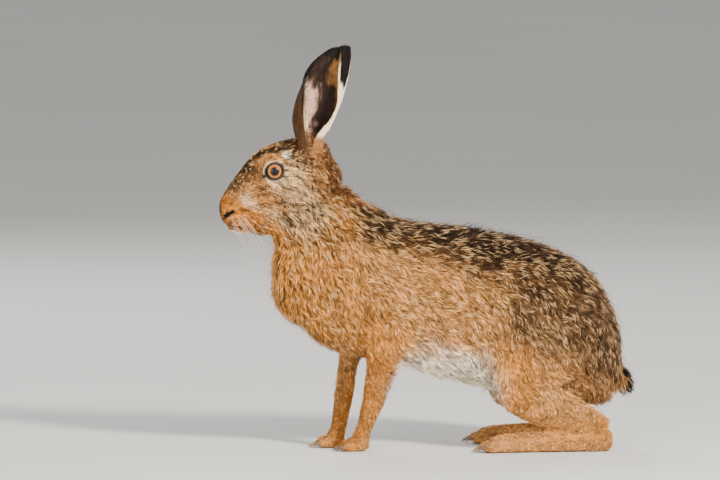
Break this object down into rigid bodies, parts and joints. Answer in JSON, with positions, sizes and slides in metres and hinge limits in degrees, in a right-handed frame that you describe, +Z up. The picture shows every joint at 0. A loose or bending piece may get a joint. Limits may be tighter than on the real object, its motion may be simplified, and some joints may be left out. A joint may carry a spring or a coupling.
{
  "type": "brown hare",
  "caption": "Life-size still model of a brown hare, half risen on straight forelegs with folded hind legs and raised ears.",
  "frame": {"origin": "on the floor, under the middle of the hare's box", "axes": "+Z up, the hare faces -X, its left side is -Y"},
  "size_m": [0.4585, 0.1494, 0.4444],
  "materials": {
    "coat_tan": "matte tawny fur",
    "coat_back": "matte grizzled dark fur over buff",
    "ear_hide": "short matte fur over thin hide",
    "tail_black": "matte fur, black above and white below",
    "eye_amber": "wet gloss",
    "claw_horn": "smooth dark horn",
    "nose_skin": "moist bare skin"
  },
  "bodies": {
    "root": {"ear_left": "ear_hide", "ear_right": "ear_hide", "eye_left": "eye_amber", "eye_right": "eye_amber", "foreleg_left": "coat_tan", "foreleg_right": "coat_tan", "forepaw_left": "coat_tan", "forepaw_right": "coat_tan", "head": "coat_tan", "hind_foot_left": "coat_tan", "hind_foot_right": "coat_tan", "hind_shank_left": "coat_tan", "hind_shank_right": "coat_tan", "neck": "coat_tan", "rump": "coat_back", "tail": "tail_black", "thigh_left": "coat_tan", "thigh_right": "coat_tan", "torso": "coat_back"}
  },
  "joints": []
}
